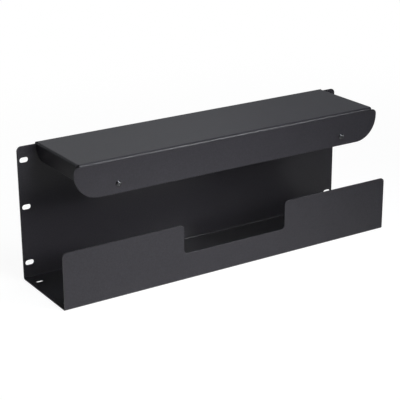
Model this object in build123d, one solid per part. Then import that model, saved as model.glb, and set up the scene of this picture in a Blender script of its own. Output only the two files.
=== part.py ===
from build123d import *
from math import sqrt
import os

# Horizontal cable manager for a 19 inch rack, four units high. One steel sheet is folded into a
# back panel with slotted rack ears, a bottom pan, a notched front lip, and a hood with an upper
# lip and two side flanges. Two button head screws stand in clinch nuts in the upper lip.
# X runs along the rack, Y from the front lips to the rear face, Z up. The origin is on the
# underside of the pan, at the middle of the footprint. Sizes are in millimetres.

# Sheet and bends
sheet = 1.5
bend_inside = 1.4
bend_outside = bend_inside + sheet
cut_edge_radius = 0.25

# Overall size
panel_width = 482.6
overall_height = 175.2
sheet_depth = 112.7

# Rack slots in the ears, from the panel's ends, its bottom and its top
rack_slot_length = 11.5
rack_slot_width = 6.6
rack_slot_inset = 8.75
lowest_slot_height = 21.35
middle_slot_rise = 73.025
highest_slot_drop = 20.5
ear_corner_radius = 6.0

# Slots in the bottom pan, from its ends, its rear and its front
pan_slot_length = 9.6
pan_slot_width = 4.8
pan_slot_inset = 12.7
rear_pan_slot_inset = 18.7
front_pan_slot_inset = 19.0

# Lower front lip and the gap cut in the middle of it
lower_lip_height = 72.8
lower_lip_corner_radius = 5.5
notch_width = 152.4
notch_floor_height = 35.0
notch_corner_radius = 5.0

# Hood, its two side flanges and its upper lip
ear_width = 24.2
flange_height = 20.7
flange_rear_radius = 17.0
flange_front_radius = 3.0
rear_slit = 0.8
front_slit = 2.0
rear_bend_overhang = 2.0
upper_lip_overhang = 5.15
upper_lip_height = 43.0
upper_lip_top_radius = 6.0
upper_lip_bottom_radius = 31.75

# Button head screws and the clinch nuts that they stand in
screw_inset = 57.35
screw_rise = 11.7
screw_head_diameter = 7.92
screw_head_height = 2.2
screw_head_rim = 0.35
screw_socket_land = 0.3
screw_shank_diameter = 4.0
screw_length = 6.35
screw_point_chamfer = 0.5
socket_across_flats = 2.38
socket_depth = 1.3
nut_pilot_diameter = 5.4
nut_pilot_length = 0.97
nut_body_diameter = 8.64
nut_body_height = 2.29
nut_body_chamfer = 0.3
thread_clearance = 0.05
clinch_clearance = 0.02

# Places that follow from the sizes
half_width = panel_width / 2
hood_half = half_width - ear_width
upper_lip_half = hood_half + upper_lip_overhang
rear_face = (sheet_depth + screw_head_height) / 2
front_face = rear_face - sheet_depth
lip_inner_face = front_face + sheet
rear_bend_line = rear_face - bend_outside
front_bend_line = front_face + bend_outside
lower_bend_line = bend_outside
upper_bend_line = overall_height - bend_outside
side_bend_line = hood_half - bend_outside
flange_rear = rear_bend_line - rear_slit
flange_front = front_bend_line + front_slit
flange_bottom = overall_height - flange_height
upper_lip_bottom = overall_height - upper_lip_height
screw_height = upper_lip_bottom + screw_rise
nut_hole_radius = nut_pilot_diameter / 2 + clinch_clearance
ear_slot_heights = [
    lowest_slot_height,
    lowest_slot_height + middle_slot_rise,
    overall_height - highest_slot_drop,
]
pan_slot_places = [rear_face - rear_pan_slot_inset, front_face + front_pan_slot_inset]
ear_slot_offset = half_width - rack_slot_inset
pan_slot_offset = half_width - pan_slot_inset
screw_offset = upper_lip_half - screw_inset
sides = (-1, 1)
standing = (Align.CENTER, Align.CENTER, Align.MIN)
hanging = (Align.CENTER, Align.CENTER, Align.MAX)


def rounded_outline(corners):
    """A closed flat outline from (across, up, radius) corners, with round corners where asked."""
    face = make_face(Polyline(*[(across, up) for across, up, _ in corners], close=True))
    for across, up, radius in corners:
        if radius > 0:
            corner = face.vertices().sort_by_distance((across, up, 0))[0]
            face = fillet(corner, radius)
    return face


def upright_plate(corners, rear):
    """A flat plate facing the rack's front, from its (x, z) outline, with its rear face at y = rear."""
    facing = Plane(origin=(0, rear, 0), x_dir=(1, 0, 0), z_dir=(0, -1, 0))
    return extrude(facing * rounded_outline(corners), sheet)


def lying_plate(low_x, high_x, low_y, high_y, bottom):
    """A flat rectangular plate from its corners, with its underside at z = bottom."""
    plate = Box(high_x - low_x, high_y - low_y, sheet, align=standing)
    return Pos((low_x + high_x) / 2, (low_y + high_y) / 2, bottom) * plate


def bend(axis_plane, turn, length):
    """A quarter turn of sheet about a plane's origin, drawn out evenly to both sides of the plane."""
    corner = Rectangle(2 * bend_outside, 2 * bend_outside, align=(Align.MIN, Align.MIN))
    quarter = Circle(bend_outside) - Circle(bend_inside) & Rot(0, 0, turn) * corner
    return extrude(axis_plane * quarter, length / 2, both=True)


def long_bend(at_y, at_z, turn, length):
    """A bend along X with its axis at (y, z): turn 0 lies towards the rear and the top."""
    return bend(Plane(origin=(0, at_y, at_z), x_dir=(0, 1, 0), z_dir=(1, 0, 0)), turn, length)


def back_panel():
    """The panel against the rack, with an ear at each end that stays below the hood's bend."""
    corners = [
        (-half_width, lower_bend_line, 0),
        (-half_width, upper_bend_line, ear_corner_radius),
        (half_width, upper_bend_line, ear_corner_radius),
        (half_width, lower_bend_line, 0),
    ]
    return upright_plate(corners, rear_face)


def bottom_pan():
    """The flat floor of the trough."""
    return lying_plate(-half_width, half_width, front_bend_line, rear_bend_line, 0)


def lower_lip():
    """The front wall of the trough, with its gap for cables to drop through."""
    half_notch = notch_width / 2
    corners = [
        (-half_width, lower_bend_line, 0),
        (-half_width, lower_lip_height, lower_lip_corner_radius),
        (-half_notch, lower_lip_height, notch_corner_radius),
        (-half_notch, notch_floor_height, notch_corner_radius),
        (half_notch, notch_floor_height, notch_corner_radius),
        (half_notch, lower_lip_height, notch_corner_radius),
        (half_width, lower_lip_height, lower_lip_corner_radius),
        (half_width, lower_bend_line, 0),
    ]
    return upright_plate(corners, lip_inner_face)


def top_plate():
    """The flat roof of the hood."""
    roof = lying_plate(-side_bend_line, side_bend_line, front_bend_line, rear_bend_line, 0)
    return Pos(0, 0, overall_height - sheet) * roof


def upper_lip():
    """The hood's front wall, wider than the roof, with large round corners below."""
    corners = [
        (-upper_lip_half, upper_lip_bottom, upper_lip_bottom_radius),
        (-upper_lip_half, upper_bend_line, upper_lip_top_radius),
        (upper_lip_half, upper_bend_line, upper_lip_top_radius),
        (upper_lip_half, upper_lip_bottom, upper_lip_bottom_radius),
    ]
    return upright_plate(corners, lip_inner_face)


def side_flange(side):
    """The short wall under one end of the hood, with its bend."""
    corners = [
        (flange_front, upper_bend_line, 0),
        (flange_front, flange_bottom, flange_front_radius),
        (flange_rear, flange_bottom, flange_rear_radius),
        (flange_rear, upper_bend_line, 0),
    ]
    facing = Plane(origin=(hood_half - sheet, 0, 0), x_dir=(0, 1, 0), z_dir=(1, 0, 0))
    wall = extrude(facing * rounded_outline(corners), sheet)
    axis_start = (side_bend_line, (flange_front + flange_rear) / 2, upper_bend_line)
    axis_plane = Plane(origin=axis_start, x_dir=(1, 0, 0), z_dir=(0, -1, 0))
    flange = wall + bend(axis_plane, 0, flange_rear - flange_front)
    return flange if side > 0 else mirror(flange, about=Plane.YZ)


def slot_cutter(facing, length, width):
    """A tool for one slot with round ends, centred on a plane and long along its x direction."""
    return extrude(facing * SlotOverall(length, width), 2 * sheet, both=True)


def cutters():
    """Every hole in the folded sheet: rack slots, pan slots and the two holes for the clinch nuts."""
    tools = []
    for side in sides:
        for height in ear_slot_heights:
            place = (side * ear_slot_offset, rear_face, height)
            facing = Plane(origin=place, x_dir=(1, 0, 0), z_dir=(0, -1, 0))
            tools.append(slot_cutter(facing, rack_slot_length, rack_slot_width))
        for along in pan_slot_places:
            place = (side * pan_slot_offset, along, 0)
            facing = Plane(origin=place, x_dir=(1, 0, 0), z_dir=(0, 0, 1))
            tools.append(slot_cutter(facing, pan_slot_length, pan_slot_width))
        place = (side * screw_offset, front_face, screw_height)
        hole = Plane(origin=place, z_dir=(0, -1, 0)) * Circle(nut_hole_radius)
        tools.append(extrude(hole, 2 * sheet, both=True))
    return tools


def cut_edges(body):
    """The long edges left by cutting the sheet, which the blank's deburring rounds.

    The nut holes stay sharp, and so do the bare ends of the two long bends beside the side flanges.
    """
    beside = {}
    for face in body.faces():
        for edge in face.edges():
            beside.setdefault(edge, []).append(face)
    chosen = []
    for edge, faces in beside.items():
        middle = edge.position_at(0.5)
        straight = edge.geom_type == GeomType.LINE
        through_sheet = straight and abs(edge.length - sheet) < 0.001
        bend_end = middle.Z > upper_bend_line and not flange_front <= middle.Y <= flange_rear
        nut_hole = edge.geom_type == GeomType.CIRCLE and abs(edge.radius - nut_hole_radius) < 0.001
        if through_sheet or bend_end or nut_hole or len(faces) != 2:
            continue
        if faces[0].normal_at(middle).get_angle(faces[1].normal_at(middle)) > 45:
            chosen.append(edge)
    return chosen


def folded_body():
    """The folded sheet as one solid."""
    rear_bend_width = 2 * (side_bend_line + rear_bend_overhang)
    body = back_panel() + bottom_pan() + lower_lip() + top_plate() + upper_lip()
    body += long_bend(rear_bend_line, lower_bend_line, -90, panel_width)
    body += long_bend(front_bend_line, lower_bend_line, 180, panel_width)
    body += long_bend(rear_bend_line, upper_bend_line, 0, rear_bend_width)
    body += long_bend(front_bend_line, upper_bend_line, 90, 2 * side_bend_line)
    for side in sides:
        body += side_flange(side)
    for tool in cutters():
        body -= tool
    return fillet(cut_edges(body), cut_edge_radius)


def button_screw():
    """A button head screw along Z, its head above z = 0, with a hexagon socket."""
    head_radius = screw_head_diameter / 2
    shank_radius = screw_shank_diameter / 2
    socket_outline = RegularPolygon(socket_across_flats / 2, 6, major_radius=False)
    flat_radius = socket_outline.bounding_box().size.X / 2 + screw_socket_land
    flat_side = flat_radius**2 + screw_head_height**2
    rim_side = head_radius**2 + screw_head_rim**2
    ball_height = (flat_side - rim_side) / (2 * (screw_head_height - screw_head_rim))
    ball_radius = sqrt(head_radius**2 + (screw_head_rim - ball_height) ** 2)
    blank = Cylinder(head_radius, screw_head_height, align=standing)
    head = blank & Pos(0, 0, ball_height) * Sphere(ball_radius)
    shank = Cylinder(shank_radius, screw_length, align=hanging)
    point = shank.edges().filter_by(GeomType.CIRCLE).sort_by(Axis.Z)[0]
    shank = chamfer(point, screw_point_chamfer)
    socket_floor = Pos(0, 0, screw_head_height - socket_depth)
    return head + shank - extrude(socket_floor * socket_outline, screw_head_height)


def clinch_nut():
    """A round clinch nut along Z: its pilot in the sheet above z = 0, its body below."""
    bore_radius = screw_shank_diameter / 2 + thread_clearance
    pilot = Cylinder(nut_pilot_diameter / 2, nut_pilot_length, align=standing)
    body = Cylinder(nut_body_diameter / 2, nut_body_height, align=hanging)
    rear_edge = body.edges().filter_by(GeomType.CIRCLE).sort_by(Axis.Z)[0]
    body = chamfer(rear_edge, nut_body_chamfer)
    return pilot + body - Cylinder(bore_radius, 4 * nut_body_height)


def on_lip(piece, seat):
    """Both copies of a piece whose axis points out of the upper lip's front, seated at y = seat."""
    copies = []
    for side in sides:
        place = (side * screw_offset, seat, screw_height)
        facing = Plane(origin=place, x_dir=(1, 0, 0), z_dir=(0, -1, 0))
        copies.append(facing.location * piece)
    return Compound(children=copies)


nodes = {
    "folded_body": folded_body(),
    "button_screws": on_lip(button_screw(), front_face),
    "clinch_nuts": on_lip(clinch_nut(), lip_inner_face),
}

os.makedirs("parts", exist_ok=True)
for name, shape in nodes.items():
    export_step(shape, f"parts/{name}.step")
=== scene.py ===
"""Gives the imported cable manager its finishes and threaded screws, and lights it in a studio.

Lengths are in metres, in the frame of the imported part: X along the rack, Y towards the rack, Z up.
"""

import math

import bpy
import numpy as np
from mathutils import Matrix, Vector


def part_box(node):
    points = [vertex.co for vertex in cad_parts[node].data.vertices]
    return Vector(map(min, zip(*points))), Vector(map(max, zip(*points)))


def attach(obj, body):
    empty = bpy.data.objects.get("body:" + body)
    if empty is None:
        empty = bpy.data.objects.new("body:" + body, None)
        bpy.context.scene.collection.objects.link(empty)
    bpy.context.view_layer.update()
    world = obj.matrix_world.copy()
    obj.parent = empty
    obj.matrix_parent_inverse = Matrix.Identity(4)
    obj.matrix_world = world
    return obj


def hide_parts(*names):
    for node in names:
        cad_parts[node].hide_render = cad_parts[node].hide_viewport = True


bl_info = {
    "name": "Horizontal Cable Manager",
    "version": (1, 0, 0),
    "blender": (4, 5, 0),
    "location": "View3D > Sidebar > Cable Manager",
    "description": "Finishes a folded sheet cable manager and builds its screws and studio",
    "category": "Object",
}

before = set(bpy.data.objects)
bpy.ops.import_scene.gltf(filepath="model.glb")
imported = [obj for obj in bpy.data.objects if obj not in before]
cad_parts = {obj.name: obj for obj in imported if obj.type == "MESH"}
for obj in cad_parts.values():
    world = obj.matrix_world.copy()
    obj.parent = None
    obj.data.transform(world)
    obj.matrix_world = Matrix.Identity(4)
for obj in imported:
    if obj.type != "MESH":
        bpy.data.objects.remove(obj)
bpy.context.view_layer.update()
SHEET_LOW, SHEET_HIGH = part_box("folded_body")
SCREWS_LOW, SCREWS_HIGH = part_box("button_screws")
HEAD_DIAMETER = SCREWS_HIGH.z - SCREWS_LOW.z
HEAD_HEIGHT = SHEET_LOW.y - SCREWS_LOW.y
SCREW_LENGTH = SCREWS_HIGH.y - SHEET_LOW.y
SCREW_OFFSET = SCREWS_HIGH.x - HEAD_DIAMETER / 2
SCREW_HEIGHT = (SCREWS_HIGH.z + SCREWS_LOW.z) / 2

WHITE = (1.0, 1.0, 1.0)
# Edges of the screws that turn by more than this stay sharp.
SHARP_ANGLE = math.radians(38)
# The floor lies this far under the sheet.
FLOOR_GAP = 0.0001
# Brightness that the lamps give a white floor beside the object.
LIGHT_ON_FLOOR = 0.5


class CoatSettings(bpy.types.PropertyGroup):
    """The powder coat on the folded sheet."""

    colour: bpy.props.FloatVectorProperty(
        name="Coat colour", description="Colour of the powder coat",
        default=(0.0302, 0.0280, 0.0335), subtype="COLOR", size=3, min=0, max=1)
    gloss: bpy.props.FloatProperty(
        name="Coat gloss", description="Strength of the reflection, as the shader's specular level",
        default=0.25, min=0, max=1, subtype="FACTOR")
    roughness: bpy.props.FloatProperty(
        name="Coat roughness", description="Least roughness of the satin coat",
        default=0.25, min=0, max=1, subtype="FACTOR")
    grit_roughness: bpy.props.FloatProperty(
        name="Grit roughness", description="Roughness that the fine grit adds at most",
        default=0.06, min=0, max=1, subtype="FACTOR")
    mottle_roughness: bpy.props.FloatProperty(
        name="Mottle roughness", description="Roughness that the faint patches add at most",
        default=0.04, min=0, max=1, subtype="FACTOR")
    grain_size: bpy.props.FloatProperty(
        name="Grain size", description="Width of one bump of the fine texture",
        default=0.00055, min=0.0001, unit="LENGTH", precision=5)
    grain_depth: bpy.props.FloatProperty(
        name="Grain depth", description="Height of the fine texture",
        default=0.000035, min=0, unit="LENGTH", precision=6)
    pebble_share: bpy.props.FloatProperty(
        name="Pebble share", description="Share of round pebbles in the fine texture, beside grit",
        default=0.65, min=0, max=1, subtype="FACTOR")
    flow_size: bpy.props.FloatProperty(
        name="Flow size", description="Width of the soft waves where the powder flowed together",
        default=0.0028, min=0.0005, unit="LENGTH", precision=4)
    flow_depth: bpy.props.FloatProperty(
        name="Flow depth", description="Height of the soft waves",
        default=0.00004, min=0, unit="LENGTH", precision=6)
    speckle_size: bpy.props.FloatProperty(
        name="Speckle size", description="Width of the slightly darker and lighter specks",
        default=0.0016, min=0.0002, unit="LENGTH", precision=4)
    mottle_size: bpy.props.FloatProperty(
        name="Mottle size", description="Width of the faint patches in the coat's tone",
        default=0.035, min=0.001, unit="LENGTH", precision=3)
    tone_swing: bpy.props.FloatProperty(
        name="Tone swing", description="How much darker and lighter than its colour the coat gets",
        default=0.5, min=0, max=1, subtype="FACTOR")


class ScrewSettings(bpy.types.PropertyGroup):
    """The button head screws and the finish of the screws and nuts."""

    rim_height: bpy.props.FloatProperty(
        name="Rim height", description="Straight rim below the head's dome",
        default=0.00035, min=0, unit="LENGTH", precision=5)
    rim_round: bpy.props.FloatProperty(
        name="Rim round", description="Rounding where the rim meets the dome and the underside",
        default=0.00012, min=0, unit="LENGTH", precision=5)
    socket_across_flats: bpy.props.FloatProperty(
        name="Socket across flats", description="Width of the hexagon socket",
        default=0.00238, min=0, unit="LENGTH", precision=5)
    socket_depth: bpy.props.FloatProperty(
        name="Socket depth", description="Depth of the hexagon socket's straight walls",
        default=0.0013, min=0, unit="LENGTH", precision=5)
    socket_land: bpy.props.FloatProperty(
        name="Socket land", description="Flat ring around the socket's corners",
        default=0.0003, min=0, unit="LENGTH", precision=5)
    shank_diameter: bpy.props.FloatProperty(
        name="Thread diameter", description="Outer diameter of the thread",
        default=0.004, min=0, unit="LENGTH", precision=5)
    thread_pitch: bpy.props.FloatProperty(
        name="Thread pitch", description="Advance of the thread in one turn",
        default=0.0007, min=0.0001, unit="LENGTH", precision=5)
    thread_depth: bpy.props.FloatProperty(
        name="Thread depth", description="Depth of the thread's groove",
        default=0.0004, min=0, unit="LENGTH", precision=5)
    point_chamfer: bpy.props.FloatProperty(
        name="Point chamfer", description="Chamfer at the end of the thread",
        default=0.0005, min=0, unit="LENGTH", precision=5)
    oxide_colour: bpy.props.FloatVectorProperty(
        name="Oxide colour", description="Colour of the black oxide on the screws",
        default=(0.075, 0.075, 0.08), subtype="COLOR", size=3, min=0, max=1)
    zinc_colour: bpy.props.FloatVectorProperty(
        name="Zinc colour", description="Colour of the zinc plate on the nuts",
        default=(0.60, 0.61, 0.63), subtype="COLOR", size=3, min=0, max=1)


class StudioSettings(bpy.types.PropertyGroup):
    """The floor, the light and the camera."""

    floor_colour: bpy.props.FloatVectorProperty(
        name="Floor colour", description="Colour of the studio floor",
        default=(0.8, 0.8, 0.8), subtype="COLOR", size=3, min=0, max=1)
    floor_size: bpy.props.FloatProperty(
        name="Floor size", description="Length of one side of the floor",
        default=24.0, min=1, unit="LENGTH")
    floor_glow: bpy.props.FloatProperty(
        name="Floor glow", description="Share of plain white in the floor, as the camera sees it",
        default=0.85, min=0, max=1, subtype="FACTOR")
    # The floor's glow in reflections is a painted pool of light: bright near the object and dim
    # further away.
    floor_shine_near: bpy.props.FloatProperty(
        name="Near floor shine", description="Brightness in a reflection of the floor close by",
        default=0.85, min=0)
    floor_shine_far: bpy.props.FloatProperty(
        name="Far floor shine", description="Brightness in a reflection of the floor further away",
        default=0.1, min=0)
    wall_colour: bpy.props.FloatVectorProperty(
        name="Wall colour", description="Cool tint of the walls, as the object mirrors them",
        default=(0.93, 0.96, 1.0), subtype="COLOR", size=3, min=0, max=1)
    wall_shine: bpy.props.FloatProperty(
        name="Wall shine", description="Brightness of the walls in a reflection",
        default=0.36, min=0)
    wall_light: bpy.props.FloatProperty(
        name="Wall light", description="Light that the walls send to the object",
        default=0.06, min=0)
    top_colour: bpy.props.FloatVectorProperty(
        name="Overhead colour", description="Slightly cool colour of the two lamps overhead",
        default=(0.9, 0.95, 1.0), subtype="COLOR", size=3, min=0, max=1)
    level_colour: bpy.props.FloatVectorProperty(
        name="Level colour", description="Colour of the lamps round the object",
        default=(0.965, 1.0, 0.98), subtype="COLOR", size=3, min=0, max=1)
    top_power: bpy.props.FloatProperty(
        name="Top lamp", description="Power of the wide softbox overhead",
        default=3.9, min=0, unit="POWER", precision=3)
    hood_power: bpy.props.FloatProperty(
        name="Hood lamp", description="Power of the gridded softbox close above the hood",
        default=0.5, min=0, unit="POWER", precision=3)
    key_power: bpy.props.FloatProperty(
        name="Key lamp", description="Power of the gridded softbox at the front, to the right",
        default=0.47, min=0, unit="POWER", precision=3)
    low_key_power: bpy.props.FloatProperty(
        name="Low key lamp", description="Power of the gridded softbox under the key lamp",
        default=0.29, min=0, unit="POWER", precision=3)
    front_power: bpy.props.FloatProperty(
        name="Front lamp", description="Power of the gridded softbox in front of the object",
        default=0.21, min=0, unit="POWER", precision=3)
    low_power: bpy.props.FloatProperty(
        name="Low lamp", description="Power of the gridded softbox low in front of the object",
        default=0.19, min=0, unit="POWER", precision=3)
    side_power: bpy.props.FloatProperty(
        name="Side lamp", description="Power of the gridded softbox low on the right",
        default=0.21, min=0, unit="POWER", precision=3)
    back_power: bpy.props.FloatProperty(
        name="Back lamp", description="Power of the softbox high behind the object",
        default=1.06, min=0, unit="POWER", precision=3)
    rear_power: bpy.props.FloatProperty(
        name="Rear lamp", description="Power of the softbox level with the object's rear face",
        default=12.5, min=0, unit="POWER", precision=3)
    camera_place: bpy.props.FloatVectorProperty(
        name="Camera place", description="Where the camera stands",
        default=(-0.824418, -1.26353, 0.625656), subtype="TRANSLATION", size=3)
    camera_azimuth: bpy.props.FloatProperty(
        name="Camera azimuth", description="Turn of the view round the object",
        default=math.radians(-32.564), subtype="ANGLE")
    camera_elevation: bpy.props.FloatProperty(
        name="Camera elevation", description="Height of the view above the horizon",
        default=math.radians(20.108), subtype="ANGLE")
    camera_roll: bpy.props.FloatProperty(
        name="Camera roll", description="Lean of the camera to one side",
        default=math.radians(-0.411), subtype="ANGLE")
    camera_lens: bpy.props.FloatProperty(
        name="Camera lens", description="Focal length in millimetres on a 36 mm sensor",
        default=112.666, min=1)


class Wire:
    """A number in a node tree, so that maths on it is written as a plain expression."""

    def __init__(self, tree, socket):
        self.tree = tree
        self.socket = socket

    def combine(self, operation, first, second):
        """Makes one maths node. The methods below are the operations that this file uses."""
        node = self.tree.nodes.new("ShaderNodeMath")
        node.operation = operation
        feed(self.tree, node.inputs[0], first)
        feed(self.tree, node.inputs[1], second)
        return Wire(self.tree, node.outputs[0])

    def __add__(self, other):
        return self.combine("ADD", self, other)

    def __radd__(self, other):
        return self.combine("ADD", other, self)

    def __rsub__(self, other):
        return self.combine("SUBTRACT", other, self)

    def __mul__(self, other):
        return self.combine("MULTIPLY", self, other)

    def least(self, other):
        return self.combine("MINIMUM", self, other)


def feed(tree, socket, value):
    """Links a wire to a socket, or writes a plain value on it."""
    if isinstance(value, Wire):
        tree.links.new(value.socket, socket)
    else:
        socket.default_value = value


class Bench:
    """A node tree being filled. One method makes every node that is not plain maths."""

    def __init__(self, tree):
        self.tree = tree
        tree.nodes.clear()

    def node(self, kind, settings=None, inputs=None, output=0):
        """Makes a node, writes its settings, then feeds its sockets."""
        made = self.tree.nodes.new(kind)
        for name, value in (settings or {}).items():
            setattr(made, name, value)
        for name, value in (inputs or {}).items():
            feed(self.tree, made.inputs[name], value)
        return Wire(self.tree, made.outputs[output]) if len(made.outputs) else None

    def noise(self, place, width, detail, roughness=0.5):
        """Soft noise from 0 to 1, whose blots are about one width across."""
        return self.node(
            "ShaderNodeTexNoise",
            {"noise_dimensions": "3D"},
            {"Vector": place, "Scale": 1.0 / width, "Detail": detail, "Roughness": roughness},
        )

    def bump(self, height, depth, under=None):
        """A relief of a depth, on top of another one if that is given."""
        inputs = {"Height": height, "Distance": depth, "Strength": 1.0}
        if under is not None:
            inputs["Normal"] = under
        return self.node("ShaderNodeBump", None, inputs)

    def tint(self, share, first, second):
        """A colour that runs from the first to the second as share goes from 0 to 1."""
        return self.node(
            "ShaderNodeMix",
            {"data_type": "RGBA"},
            {0: share, 6: (*first, 1.0), 7: (*second, 1.0)},
            output=2,
        )


def new_finish(name):
    """An empty material and the bench for its nodes."""
    material = bpy.data.materials.new(name)
    material.use_nodes = True
    return material, Bench(material.node_tree)


def shade(colour, factor):
    """A colour made lighter or darker, worked out here and not in nodes."""
    return tuple(min(1.0, part * factor) for part in colour)


def powder_coat(settings):
    """Satin black powder coat: small pebbles, soft waves under them, specks and a faint mottle."""
    material, bench = new_finish("powder_coat")
    place = bench.node("ShaderNodeTexCoord", output="Object")
    pebbles = bench.node(
        "ShaderNodeTexVoronoi",
        {"feature": "SMOOTH_F1"},
        {"Vector": place, "Scale": 1.0 / settings.grain_size, "Smoothness": 0.6},
    )
    grit = bench.noise(place, settings.grain_size * 0.6, detail=2.0, roughness=0.55)
    waves = bench.noise(place, settings.flow_size, detail=2.0)
    mottle = bench.noise(place, settings.mottle_size, detail=3.0, roughness=0.6)
    speckle = bench.noise(place, settings.speckle_size, detail=1.0)
    share = settings.pebble_share
    grain = (1 - pebbles) * share + grit * (1 - share)
    mottle_share, speckle_share, grain_share = 0.15, 0.6, 0.25
    tone = mottle * mottle_share + speckle * speckle_share + grain * grain_share
    darkest = shade(settings.colour, 1 - settings.tone_swing)
    palest = shade(settings.colour, 1 + settings.tone_swing)
    roughness = (
        settings.roughness + grit * settings.grit_roughness + mottle * settings.mottle_roughness)
    small = bench.bump(grain, settings.grain_depth)
    surface = bench.node(
        "ShaderNodeBsdfPrincipled", None,
        {
            "Base Color": bench.tint(tone, darkest, palest),
            "Specular IOR Level": settings.gloss,
            "Roughness": roughness,
            "Normal": bench.bump(waves, settings.flow_depth, small),
        })
    bench.node("ShaderNodeOutputMaterial", None, {"Surface": surface})
    return material


def plated_metal(
        name, darkest, palest, cloud_size, grain_size, grain_depth, roughness, cloud_roughness):
    """Bare or plated metal: cloudy patches that are paler and rougher, and a very fine grain."""
    material, bench = new_finish(name)
    place = bench.node("ShaderNodeTexCoord", output="Object")
    cloud = bench.noise(place, cloud_size, detail=3.0, roughness=0.6)
    grain = bench.noise(place, grain_size, detail=2.0)
    surface = bench.node(
        "ShaderNodeBsdfPrincipled", None,
        {
            "Base Color": bench.tint(cloud, darkest, palest),
            "Metallic": 1.0,
            "Roughness": roughness + cloud * cloud_roughness,
            "Normal": bench.bump(grain, grain_depth),
        })
    bench.node("ShaderNodeOutputMaterial", None, {"Surface": surface})
    return material


def black_oxide(settings):
    """Smooth black oxide on the screws."""
    colour = settings.oxide_colour
    return plated_metal(
        "black_oxide", darkest=shade(colour, 0.8), palest=shade(colour, 1.2), cloud_size=0.0016,
        grain_size=0.00018, grain_depth=0.000004, roughness=0.1, cloud_roughness=0.06)


def zinc_plate(settings):
    """Bright zinc plate on the nuts."""
    colour = settings.zinc_colour
    return plated_metal(
        "zinc_plate", darkest=shade(colour, 0.85), palest=shade(colour, 1.1), cloud_size=0.002,
        grain_size=0.00025, grain_depth=0.000006, roughness=0.26, cloud_roughness=0.12)


def corner_arc(across, along, radius, start, end, steps):
    """Points of a round corner: centre plus radius times (cosine, sine), from start to end."""
    angle = np.radians(np.linspace(start, end, steps))
    return np.stack([across + radius * np.cos(angle), along + radius * np.sin(angle)], axis=1)


def screw_profile(settings):
    """The screw's outline from the socket's floor, over the head and down to the shank.

    Each row is (radius, height above the seat, share). A share of 1 means that the row follows the
    hexagon, and 0 that it is round. The dome is the ball through the rim's top and the edge of the
    flat ring around the socket.
    """
    head = HEAD_DIAMETER / 2
    top = HEAD_HEIGHT
    flat = settings.socket_across_flats / 2
    land = flat / math.cos(math.pi / 6) + settings.socket_land
    rise = settings.rim_height
    middle = ((land**2 + top**2) - (head**2 + rise**2)) / (2 * (top - rise))
    ball = math.sqrt(head**2 + (rise - middle) ** 2)
    floor = top - settings.socket_depth
    cone, corner, mouth, dome_rows = flat * 0.12, 0.00005, 0.00012, 15
    socket = [
        (flat * 0.5, floor - cone, 1.0),
        (flat * 0.94, floor, 1.0),
        (flat, floor + corner, 1.0),
        (flat, top - mouth, 1.0),
        (flat * 1.02, top - mouth / 3, 1.0),
        (flat * 1.06, top, 1.0),
    ]
    low = math.asin((rise - middle) / ball)
    high = math.asin((top - middle) / ball)
    turn = np.linspace(high, low, dome_rows)
    dome = [(land, top, 0.0)]
    dome += [(ball * math.cos(a), middle + ball * math.sin(a), 0.0) for a in turn[1:-1]]
    soft = settings.rim_round
    rim = [(head - soft * 0.25, rise + soft * 0.9, 0.0), (head, rise - soft * 0.3, 0.0)]
    corner_rows = corner_arc(head - soft, soft, radius=soft, start=0, end=-90, steps=5)
    under = [(r, h, 0.0) for r, h in corner_rows]
    return np.array(socket + dome + rim + under)


def threaded_screw(settings, columns=72, rows_per_turn=14):
    """Vertices and faces of one screw along Z with its seat at zero.

    Rows of the profile are turned round the axis, and a row that follows the hexagon has its
    radius divided by the cosine of the angle from the nearest flat. The thread's radius is the
    outer radius less its depth times a trapezium wave of height over pitch plus turn, cut by the
    point's chamfer.
    """
    tooth_slope, tooth_shift, socket_tip = 3.2, 0.3, 0.00006
    angle = np.arange(columns) * 2 * math.pi / columns
    from_flat = (angle + math.pi / 6) % (math.pi / 3) - math.pi / 6
    profile = screw_profile(settings)
    radius, height, share = profile[:, :1], profile[:, 1:2], profile[:, 2:]
    head_radius = radius * (share / np.cos(from_flat) + (1 - share))
    head_height = np.broadcast_to(height, head_radius.shape)
    outer = settings.shank_diameter / 2
    count = int(SCREW_LENGTH / settings.thread_pitch * rows_per_turn)
    down = np.linspace(0.0, SCREW_LENGTH, count)[:, None]
    wave = (down / settings.thread_pitch + angle / (2 * math.pi)) % 1.0
    tooth = np.clip(np.abs(wave - 0.5) * tooth_slope - tooth_shift, 0.0, 1.0)
    near_head = np.clip(down / settings.thread_pitch, 0.0, 1.0)
    thread = outer - settings.thread_depth * tooth * near_head
    point = outer - settings.point_chamfer + (SCREW_LENGTH - down)
    shank_radius = np.minimum(thread, point)
    shank_height = np.broadcast_to(-down, shank_radius.shape)
    radius = np.concatenate([head_radius, shank_radius])
    height = np.concatenate([head_height, shank_height])
    rows = len(radius)
    ring = np.stack([radius * np.cos(angle), radius * np.sin(angle), height], axis=2).reshape(-1, 3)
    tips = np.array([[0.0, 0.0, height[0, 0] - socket_tip], [0.0, 0.0, -SCREW_LENGTH]])
    vertices = np.concatenate([ring, tips])
    row, column = np.meshgrid(np.arange(rows - 1), np.arange(columns), indexing="ij")
    beside = (column + 1) % columns
    here, there = row * columns, (row + 1) * columns
    quads = np.stack([here + column, there + column, there + beside, here + beside], axis=2)
    around = np.arange(columns)
    after = (around + 1) % columns
    last = (rows - 1) * columns
    socket_fan = np.stack([np.full(columns, rows * columns), around, after], axis=1)
    tip = np.full(columns, rows * columns + 1)
    point_fan = np.stack([tip, last + after, last + around], axis=1)
    return vertices, quads.reshape(-1, 4), np.concatenate([socket_fan, point_fan])


def on_lip(vertices, side):
    """Lays a piece made along Z on the upper lip: its Z points out of the lip's front face."""
    x, y, z = vertices.T
    return np.stack([side * SCREW_OFFSET + x, SHEET_LOW.y - z, SCREW_HEIGHT + y], axis=1)


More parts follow.
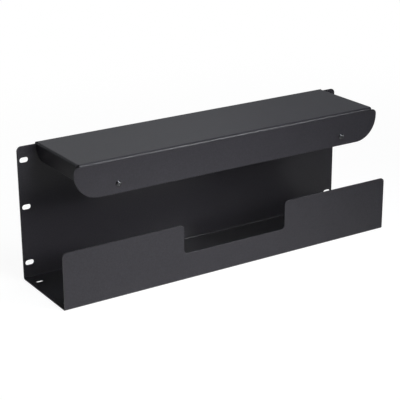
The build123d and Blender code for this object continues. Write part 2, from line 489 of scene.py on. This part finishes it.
def smooth_mesh(name, vertices, quads, triangles):
    """A mesh from whole arrays, smooth but for its sharp edges."""
    mesh = bpy.data.meshes.new(name)
    mesh.from_pydata(vertices.tolist(), [], quads.tolist() + triangles.tolist())
    mesh.polygons.foreach_set("use_smooth", np.ones(len(mesh.polygons), bool))
    mesh.set_sharp_from_angle(angle=SHARP_ANGLE)
    mesh.update()
    return mesh


def add_piece(name, mesh, material):
    """Puts a finished mesh in the scene, at the origin, unturned."""
    piece = bpy.data.objects.new(name, mesh)
    mesh.materials.append(material)
    bpy.context.scene.collection.objects.link(piece)
    return piece


def wear(node, material):
    """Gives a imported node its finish."""
    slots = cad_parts[node].data.materials
    slots.clear()
    slots.append(material)


class CABLE_OT_coat_sheet(bpy.types.Operator):
    """Coat the folded sheet with its black powder coat."""

    bl_idname = "cable_manager.coat_sheet"
    bl_label = "Coat the folded sheet"

    def execute(self, context):
        wear("folded_body", powder_coat(context.scene.coat))
        return {"FINISHED"}


class CABLE_OT_cut_screws(bpy.types.Operator):
    """Make both button head screws with their hexagon sockets and threads."""

    bl_idname = "cable_manager.cut_screws"
    bl_label = "Cut the button head screws"

    def execute(self, context):
        settings = context.scene.screws
        vertices, quads, triangles = threaded_screw(settings)
        both = np.concatenate([on_lip(vertices, -1), on_lip(vertices, 1)])
        shift = len(vertices)
        mesh = smooth_mesh(
            "threaded_screws", both,
            np.concatenate([quads, quads + shift]),
            np.concatenate([triangles, triangles + shift]))
        piece = add_piece("threaded_screws", mesh, black_oxide(settings))
        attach(piece, "root")
        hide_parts("button_screws")
        return {"FINISHED"}


class CABLE_OT_plate_nuts(bpy.types.Operator):
    """Plate the clinch nuts behind the upper lip with zinc."""

    bl_idname = "cable_manager.plate_nuts"
    bl_label = "Plate the clinch nuts"

    def execute(self, context):
        wear("clinch_nuts", zinc_plate(context.scene.screws))
        return {"FINISHED"}


def turned(place, back, roll=0.0):
    """The place and turn of a lamp or camera whose Z axis points along back, with its lean."""
    back = back / np.linalg.norm(back)
    right = np.cross((0.0, 0.0, 1.0), back)
    right = right / np.linalg.norm(right)
    up = np.cross(back, right)
    across = math.cos(roll) * right + math.sin(roll) * up
    upward = math.cos(roll) * up - math.sin(roll) * right
    rows = np.stack([across, upward, back], axis=1)
    turn = Matrix([[*row, 0.0] for row in rows] + [[0, 0, 0, 1]])
    turn.translation = place
    return turn


def softbox(name, place, target, size, power, spread, colour):
    """A rectangular area lamp that faces a target. A spread under 180 degrees is its grid."""
    lamp = bpy.data.lights.new(name, "AREA")
    lamp.shape = "RECTANGLE"
    lamp.size, lamp.size_y = size
    lamp.energy = power
    lamp.spread = math.radians(spread)
    lamp.color = colour
    holder = bpy.data.objects.new(name, lamp)
    holder.matrix_world = turned(place, np.array(place) - np.array(target))
    holder.visible_camera = False
    bpy.context.scene.collection.objects.link(holder)


def rays(bench):
    """Two masks: rays from the camera, and rays that a glossy or clear surface sends on."""
    camera = bench.node("ShaderNodeLightPath", output="Is Camera Ray")
    glossy = bench.node("ShaderNodeLightPath", output="Is Glossy Ray")
    clear = bench.node("ShaderNodeLightPath", output="Is Transmission Ray")
    return camera, (glossy + clear).least(1.0)


def studio_floor(settings):
    """A pale floor that the object stands on.

    To the camera it is white, mixed with the lit floor near the object so that the shadow stays.
    In a reflection it shows a painted pool of light: its glow runs from the near to the far level
    over the distance from a point in front of the object's left half.
    """
    half = settings.floor_size / 2
    corners = ((-half, -half), (half, -half), (half, half), (-half, half))
    mesh = bpy.data.meshes.new("studio_floor")
    mesh.from_pydata([(x, y, -FLOOR_GAP) for x, y in corners], [], [(0, 1, 2, 3)])
    material, bench = new_finish("studio_floor")
    place = bench.node("ShaderNodeTexCoord", output="Object")

    def ramp(centre, reach, near, far):
        distance = bench.node(
            "ShaderNodeVectorMath", {"operation": "DISTANCE"}, {0: place, 1: centre},
            output="Value")
        return bench.node(
            "ShaderNodeMapRange", {"interpolation_type": "SMOOTHSTEP"},
            {
                "Value": distance, "From Min": reach[0], "From Max": reach[1],
                "To Min": near, "To Max": far,
            })

    middle, fade = (0.0, 0.0, 0.0), (0.35, 1.2)
    front_left, dimming = (-0.12, -0.12, 0.0), (0.2, 0.7)
    camera, mirrored = rays(bench)
    share = ramp(middle, fade, settings.floor_glow, 1.0)
    lit = settings.floor_colour[0] * LIGHT_ON_FLOOR
    level = (1.0 - (1.0 - settings.floor_glow) * lit) / settings.floor_glow
    white = ramp(middle, fade, level, 1.0)
    # Painted pool of light in the floor's glow: bright in reflections near the object, dimmer
    # further off.
    shine = ramp(front_left, dimming, settings.floor_shine_near, settings.floor_shine_far)
    matt = bench.node("ShaderNodeBsdfDiffuse", None, {"Color": (*settings.floor_colour, 1.0)})
    glow = bench.node(
        "ShaderNodeEmission", None,
        {"Color": (*WHITE, 1.0), "Strength": camera * white + mirrored * shine})
    mixed = bench.node(
        "ShaderNodeMixShader", None, {0: camera * share + mirrored, 1: matt, 2: glow})
    bench.node("ShaderNodeOutputMaterial", None, {"Surface": mixed})
    floor = add_piece("studio_floor", mesh, material)


def studio_world(settings):
    """Pale walls up to about 22 degrees above the floor and a dark ceiling, white to the camera."""
    world = bpy.data.worlds.new("studio")
    world.use_nodes = True
    bpy.context.scene.world = world
    bench = Bench(world.node_tree)
    facing = bench.node("ShaderNodeTexCoord", output="Generated")
    height = bench.node("ShaderNodeSeparateXYZ", None, {"Vector": facing}, output="Z")
    wall_top, ceiling = 0.36, 0.40
    wall = bench.node(
        "ShaderNodeMapRange", None,
        {"Value": height, "From Min": wall_top, "From Max": ceiling, "To Min": 1.0, "To Max": 0.0})
    camera, mirrored = rays(bench)
    light = wall * (mirrored * (settings.wall_shine - settings.wall_light) + settings.wall_light)
    level = camera + (1 - camera) * light
    colour = bench.tint(camera, settings.wall_colour, WHITE)
    glow = bench.node("ShaderNodeBackground", None, {"Color": colour, "Strength": level})
    bench.node("ShaderNodeOutputWorld", None, {"Surface": glow})


def studio_camera(settings):
    """The camera, turned by azimuth round Z, then by elevation, then by its own roll."""
    azimuth, elevation = settings.camera_azimuth, settings.camera_elevation
    back = np.array([
        math.sin(azimuth) * math.cos(elevation),
        -math.cos(azimuth) * math.cos(elevation),
        math.sin(elevation),
    ])
    data = bpy.data.cameras.new("camera")
    data.lens = settings.camera_lens
    data.sensor_width = 36.0
    data.clip_end = 100.0
    camera = bpy.data.objects.new("camera", data)
    camera.matrix_world = turned(settings.camera_place, back, settings.camera_roll)
    bpy.context.scene.collection.objects.link(camera)
    bpy.context.scene.camera = camera


class CABLE_OT_set_studio(bpy.types.Operator):
    """Set up the floor, the walls, the lamps and the camera."""

    bl_idname = "cable_manager.set_studio"
    bl_label = "Set up the studio"

    def execute(self, context):
        settings = context.scene.studio
        context.scene.view_settings.view_transform = "Standard"
        studio_floor(settings)
        studio_world(settings)
        middle, hood = (0.0, 0.0, 0.08), (0.0, 0.0, 0.15)
        left, inside = (-0.17, -0.05, 0.035), (0.1, 0.03, 0.1)
        cool, level = settings.top_colour, settings.level_colour
        # Name, place, target, size, power, spread in degrees, colour
        lamps = [
            ("top", (0.05, -0.65, 1.1), middle, (0.5, 0.5), settings.top_power, 180, cool),
            ("hood", (0.0, -0.3, 0.8), hood, (0.3, 0.3), settings.hood_power, 90, cool),
            ("key", (1.0, -1.45, 1.1), left, (0.4, 0.4), settings.key_power, 28, level),
            ("low_key", (1.0, -1.5, 0.7), left, (0.3, 0.3), settings.low_key_power, 26, level),
            ("front", (0.2, -2.0, 1.0), left, (0.6, 0.6), settings.front_power, 28, level),
            ("low", (-0.15, -0.8, 0.25), left, (0.3, 0.3), settings.low_power, 60, level),
            ("side", (1.2, -0.3, 0.15), inside, (0.3, 0.3), settings.side_power, 40, level),
            ("back", (0.6, 1.4, 1.2), middle, (0.8, 0.8), settings.back_power, 180, level),
            ("rear", (0.0, 2.0, 0.3), middle, (0.9, 0.5), settings.rear_power, 180, level),
        ]
        for name, *rest in lamps:
            softbox(f"{name}_softbox", *rest)
        studio_camera(settings)
        return {"FINISHED"}


class CABLE_PT_panel(bpy.types.Panel):
    """Lists the steps that dress the cable manager."""

    bl_idname = "CABLE_PT_panel"
    bl_label = "Cable Manager"
    bl_space_type = "VIEW_3D"
    bl_region_type = "UI"
    bl_category = "Cable Manager"

    def draw(self, context):
        scene = context.scene
        parts = [
            (scene.coat, [CABLE_OT_coat_sheet]),
            (scene.screws, [CABLE_OT_cut_screws, CABLE_OT_plate_nuts]),
            (scene.studio, [CABLE_OT_set_studio]),
        ]
        for settings, steps in parts:
            box = self.layout.box()
            for name in settings.__annotations__:
                box.prop(settings, name)
            for step in steps:
                box.operator(step.bl_idname)


CLASSES = (
    CoatSettings,
    ScrewSettings,
    StudioSettings,
    CABLE_OT_coat_sheet,
    CABLE_OT_cut_screws,
    CABLE_OT_plate_nuts,
    CABLE_OT_set_studio,
    CABLE_PT_panel,
)


def register():
    for entry in CLASSES:
        bpy.utils.register_class(entry)
    bpy.types.Scene.coat = bpy.props.PointerProperty(type=CoatSettings)
    bpy.types.Scene.screws = bpy.props.PointerProperty(type=ScrewSettings)
    bpy.types.Scene.studio = bpy.props.PointerProperty(type=StudioSettings)


def unregister():
    del bpy.types.Scene.studio
    del bpy.types.Scene.screws
    del bpy.types.Scene.coat
    for entry in reversed(CLASSES):
        bpy.utils.unregister_class(entry)


def main():
    """Registers the add-on and runs every step in order."""
    register()
    bpy.ops.cable_manager.coat_sheet()
    bpy.ops.cable_manager.cut_screws()
    bpy.ops.cable_manager.plate_nuts()
    bpy.ops.cable_manager.set_studio()


if __name__ == "__main__":
    main()
